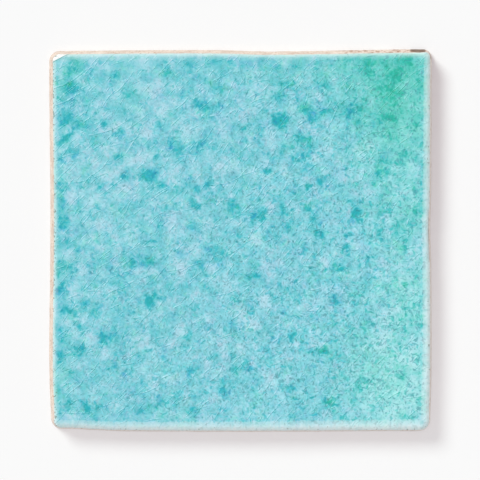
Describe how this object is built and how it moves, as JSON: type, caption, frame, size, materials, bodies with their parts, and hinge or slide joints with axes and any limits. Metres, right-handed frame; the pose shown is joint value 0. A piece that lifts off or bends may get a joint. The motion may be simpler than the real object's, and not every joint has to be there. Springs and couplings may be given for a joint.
{
  "type": "glazed ceramic wall tile",
  "caption": "Square hand-pressed ceramic wall tile with a mottled turquoise glaze over a pale clay body, soft wavy edges and a flat back.",
  "frame": {"origin": "centre of the flat back", "axes": "+Z out of the glazed face, +X to the right and +Y to the top of the tile as the picture shows it"},
  "size_m": [0.13, 0.13, 0.01],
  "materials": {
    "glaze": "gloss",
    "biscuit": "matte"
  },
  "bodies": {
    "root": {"glazed_tile": "glaze"}
  },
  "joints": []
}
